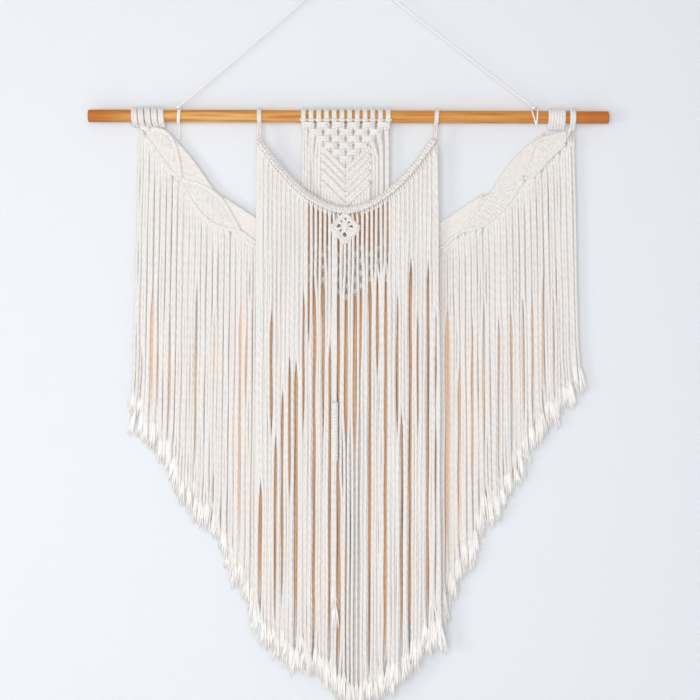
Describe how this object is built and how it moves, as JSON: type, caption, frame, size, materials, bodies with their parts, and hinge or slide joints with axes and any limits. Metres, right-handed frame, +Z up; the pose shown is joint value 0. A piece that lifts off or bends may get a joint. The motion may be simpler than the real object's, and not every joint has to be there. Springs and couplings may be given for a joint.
{
  "type": "macrame wall hanging on a wooden dowel",
  "caption": "Cream cotton macrame wall hanging: knotted centre panel, swag and slanting wings on a round wooden dowel, with a long fringe cut to a V.",
  "frame": {"origin": "where the hanging cord rests on its wall hook, at the top of the cord", "axes": "+Z up along the hang, +X to the viewer's right along the dowel, +Y from the front into the wall"},
  "size_m": [0.914, 0.0329, 1.3134],
  "materials": {
    "wood": "satin",
    "cotton_cord": "matte",
    "cotton_twine": "matte"
  },
  "bodies": {
    "root": {"dowel": "wood", "hanging_cord": "cotton_twine", "left_tie": "cotton_twine", "right_tie": "cotton_twine", "centre_panel": "cotton_cord", "back_garland": "cotton_cord", "front_swag": "cotton_cord"}
  },
  "joints": []
}
